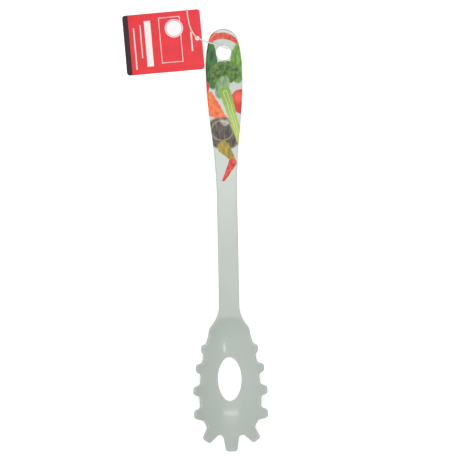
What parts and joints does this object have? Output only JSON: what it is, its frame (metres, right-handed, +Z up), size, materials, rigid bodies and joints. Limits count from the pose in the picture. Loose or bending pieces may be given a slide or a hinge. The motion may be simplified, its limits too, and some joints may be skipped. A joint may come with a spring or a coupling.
{
  "type": "pasta server",
  "caption": "Moulded pasta server with a flat arched handle, a toothed oval bowl with a drain hole, and a card tag on a string through its hanging hole.",
  "frame": {"origin": "on the table under the middle of the server, at the bottom centre of its box without the tag and string", "axes": "+Y along the server towards the end of the handle, +X across it to the right when the bowl faces the viewer, +Z up out of the bowl"},
  "size_m": [0.0996, 0.3201, 0.0241],
  "materials": {
    "melamine": "gloss",
    "print": "gloss",
    "card": "satin",
    "string": "matt"
  },
  "bodies": {
    "server": {"server_body": "melamine", "handle_print": "print"},
    "loop": {"string_loop": "string"},
    "knot": {"string_knot": "string"},
    "tag": {"hang_tag": "card", "string_wrap": "string"}
  },
  "joints": [
    {"name": "loop_swing", "type": "hinge", "parent": "server", "child": "loop", "pos_m": [0, 0.135, 0.0048], "axis": [0, 0.1478, 0.989], "range_deg": [0, 12]},
    {"name": "tag_lift", "type": "hinge", "parent": "loop", "child": "knot", "pos_m": [-0.01868, 0.14602, 0.00324], "axis": [-0.0698, 0.9976, 0], "range_deg": [0, 45]},
    {"name": "tag_turn", "type": "hinge", "parent": "knot", "child": "tag", "pos_m": [-0.01868, 0.14602, 0.00324], "axis": [-0.0301, -0.0021, 0.9995], "range_deg": [-15, 8]}
  ]
}
